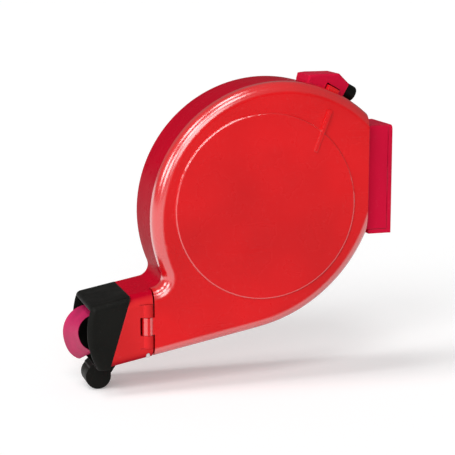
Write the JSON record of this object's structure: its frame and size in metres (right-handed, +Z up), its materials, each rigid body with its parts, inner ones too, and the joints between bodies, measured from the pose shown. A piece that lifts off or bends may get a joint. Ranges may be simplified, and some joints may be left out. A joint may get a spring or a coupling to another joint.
{
  "type": "ticket dispenser",
  "caption": "Wall-hung round ticket dispenser with a falling tail, dark mouthpiece, hinged side cover, sprung latch button and paper roll.",
  "frame": {"origin": "on the wall face of the bracket, at the middle between its two screw holes", "axes": "+Z up, +Y into the wall, so the dispenser stands out along -Y; +X is the side whose cover opens"},
  "size_m": [0.0564, 0.2281, 0.211],
  "materials": {
    "red_plastic": "glossy moulded red plastic",
    "crimson_plastic": "glossy moulded crimson plastic",
    "black_plastic": "satin black moulded plastic",
    "grey_plastic": "matte moulded grey plastic",
    "steel": "zinc-plated steel",
    "spring_steel": "bright spring steel",
    "cardboard": "grey-brown cardboard",
    "ticket_paper": "matte crimson ticket paper"
  },
  "bodies": {
    "bracket": {"wall_bracket": "crimson_plastic"},
    "casing": {"casing_base": "crimson_plastic", "mount_socket": "crimson_plastic", "socket_screws": "steel", "hinge_pin": "steel", "latch_housing": "crimson_plastic", "latch_screws": "steel", "latch_spring": "spring_steel", "roll_spindle": "grey_plastic", "spindle_screw": "steel", "roller_axle": "steel", "paper_guide": "grey_plastic", "guide_screws": "steel", "feed_flap": "spring_steel", "flap_rivet": "steel", "brake_spring": "spring_steel", "brake_screw": "steel", "mouthpiece": "black_plastic", "mouthpiece_screws": "steel", "tear_blade": "steel", "lower_lip": "black_plastic"},
    "cover": {"side_cover": "red_plastic"},
    "latch": {"latch_button": "black_plastic"},
    "paper_roll": {"roll_core": "cardboard", "ticket_roll": "ticket_paper"},
    "paper_strip": {"ticket_strip": "ticket_paper"},
    "roller": {"guide_roller": "grey_plastic"}
  },
  "joints": [
    {"name": "lift_off", "type": "slide", "parent": "bracket", "child": "casing", "axis": [0, 0, 1], "range_m": [0, 0.04]},
    {"name": "cover_swing", "type": "hinge", "parent": "casing", "child": "cover", "pos_m": [0.0245, -0.17747, -0.09097], "axis": [0, 0, -1], "range_deg": [0, 110]},
    {"name": "latch_press", "type": "slide", "parent": "casing", "child": "latch", "axis": [0, -0.866, 0.5], "range_m": [0, 0.003], "stiffness_N_per_m": 400, "springref_m": -0.004, "deforming": ["latch_spring"]},
    {"name": "roll_spin", "type": "hinge", "parent": "casing", "child": "paper_roll", "pos_m": [0, -0.0944, -0.0135], "axis": [-1, 0, 0], "range_deg": [0, 18.4]},
    {"name": "strip_feed", "type": "slide", "parent": "casing", "child": "paper_strip", "axis": [0, -0.9981, -0.061], "range_m": [0, 0.02]},
    {"name": "roller_turn", "type": "hinge", "parent": "casing", "child": "roller", "pos_m": [0, -0.10226, -0.08156], "axis": [1, 0, 0], "range_deg": [0, 235]}
  ],
  "couplings": [
    {"joint": "strip_feed", "follows": "roll_spin", "m_per_rad": 0.06215},
    {"joint": "roller_turn", "follows": "roll_spin", "ratio": 12.43}
  ]
}
